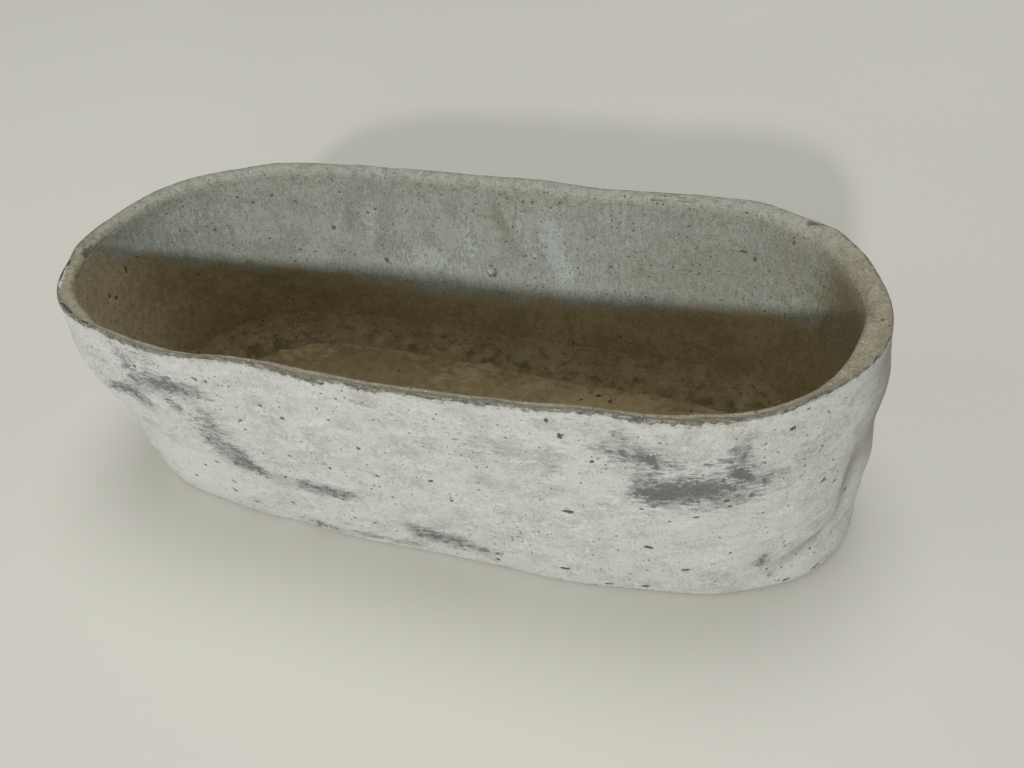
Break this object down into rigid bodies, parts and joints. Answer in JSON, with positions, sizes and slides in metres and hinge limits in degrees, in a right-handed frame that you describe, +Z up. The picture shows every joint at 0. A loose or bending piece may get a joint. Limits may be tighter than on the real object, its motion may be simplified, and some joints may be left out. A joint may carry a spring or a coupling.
{
  "type": "planter box",
  "caption": "Long oval cement planter trough with thin walls leaning in to a flat foot, limewashed outside, open hollow for soil or pots.",
  "frame": {"origin": "on the surface that the planter stands on, under the middle of its bounding box", "axes": "+X along the planter's length, -Y its front in the picture, +Z up out of the open top"},
  "size_m": [0.3806, 0.1653, 0.11],
  "materials": {
    "cement": "raw matt cement",
    "mortar": "rough mortar",
    "skim": "brushed cement skim",
    "slip": "dark cement slip",
    "limewash": "worn chalky limewash"
  },
  "bodies": {
    "root": {"wall_band": "cement", "floor_slab": "cement", "corner_bead": "mortar", "inner_skim": "skim", "grey_slip": "slip", "limewash": "limewash"}
  },
  "joints": []
}
